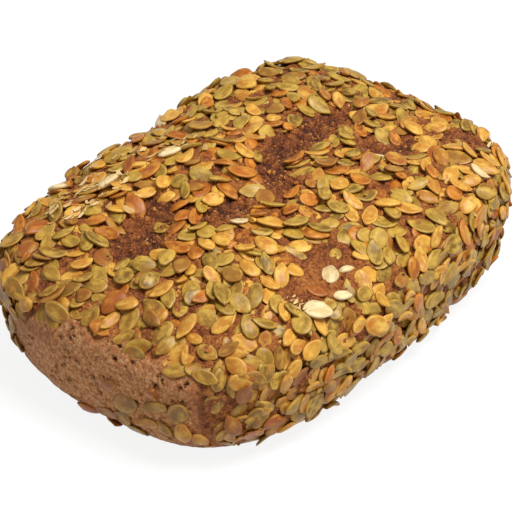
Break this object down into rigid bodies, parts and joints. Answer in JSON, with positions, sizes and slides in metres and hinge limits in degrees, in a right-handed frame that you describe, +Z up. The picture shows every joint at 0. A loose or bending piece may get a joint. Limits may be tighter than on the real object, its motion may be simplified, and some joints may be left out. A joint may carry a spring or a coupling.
{
  "type": "rye bread loaf",
  "caption": "Box-shaped rye bread loaf with rounded edges, a low cracked crown and a coat of pumpkin seeds; it rests on its flat base and is sliced for eating.",
  "frame": {"origin": "middle of the flat base, on the surface that the loaf stands on", "axes": "+X along the loaf, from the plain end to the seeded end; +Y across it; +Z up through the crown"},
  "size_m": [0.2124, 0.1518, 0.07],
  "materials": {
    "rye_crust": "matte"
  },
  "bodies": {
    "root": {"loaf": "rye_crust"}
  },
  "joints": []
}
